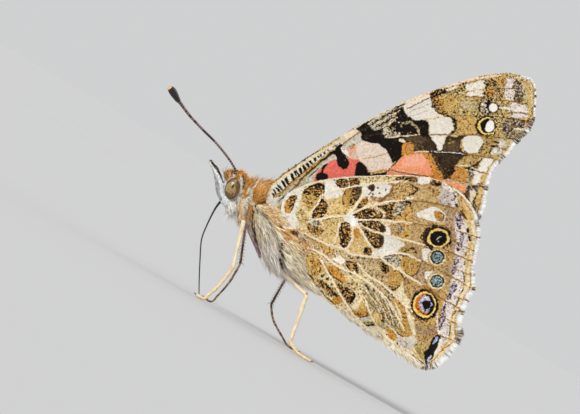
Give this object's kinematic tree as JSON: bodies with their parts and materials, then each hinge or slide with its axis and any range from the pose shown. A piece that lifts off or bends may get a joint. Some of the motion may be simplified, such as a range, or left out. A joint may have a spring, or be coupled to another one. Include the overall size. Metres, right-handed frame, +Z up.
{
  "type": "painted lady butterfly",
  "caption": "Life-size painted lady butterfly standing with its wings closed over its back, head and feelers raised, mottled undersides with eyespots.",
  "frame": {"origin": "on the floor under the middle of the model's box", "axes": "+X towards the tail, -X is where the head points; -Y is the insect's left side; +Z up, with the feet level at Z = 0"},
  "size_m": [0.0384, 0.011, 0.0356],
  "materials": {
    "fur": "soft orange-brown and grey-cream hair over a chitin body",
    "palp_fur": "short white and grey hair scales",
    "wing_scales": "thin membrane shingled with matt scales in cream, ochre, brown, black, white and coral",
    "eye": "glossy olive-brown compound eye",
    "cuticle": "satin cream chitin with fine scales",
    "dark_cuticle": "satin dark brown chitin"
  },
  "bodies": {
    "root": {"head": "fur", "prothorax": "fur", "thorax": "fur", "abdomen": "fur", "tegula_left": "fur", "tegula_right": "fur", "palp_left": "palp_fur", "palp_right": "palp_fur", "eye_left": "eye", "eye_right": "eye", "antenna_left": "dark_cuticle", "antenna_right": "dark_cuticle", "proboscis": "dark_cuticle", "foreleg_left": "fur", "foreleg_right": "fur", "midleg_left_femur": "cuticle", "midleg_left_tibia": "cuticle", "midleg_left_tarsus": "cuticle", "midleg_right_femur": "cuticle", "midleg_right_tibia": "cuticle", "midleg_right_tarsus": "cuticle", "hindleg_left_femur": "cuticle", "hindleg_left_tibia": "cuticle", "hindleg_left_tarsus": "cuticle", "hindleg_right_femur": "cuticle", "hindleg_right_tibia": "cuticle", "hindleg_right_tarsus": "cuticle", "forewing_left": "wing_scales", "forewing_right": "wing_scales", "hindwing_left": "wing_scales", "hindwing_right": "wing_scales"}
  },
  "joints": []
}
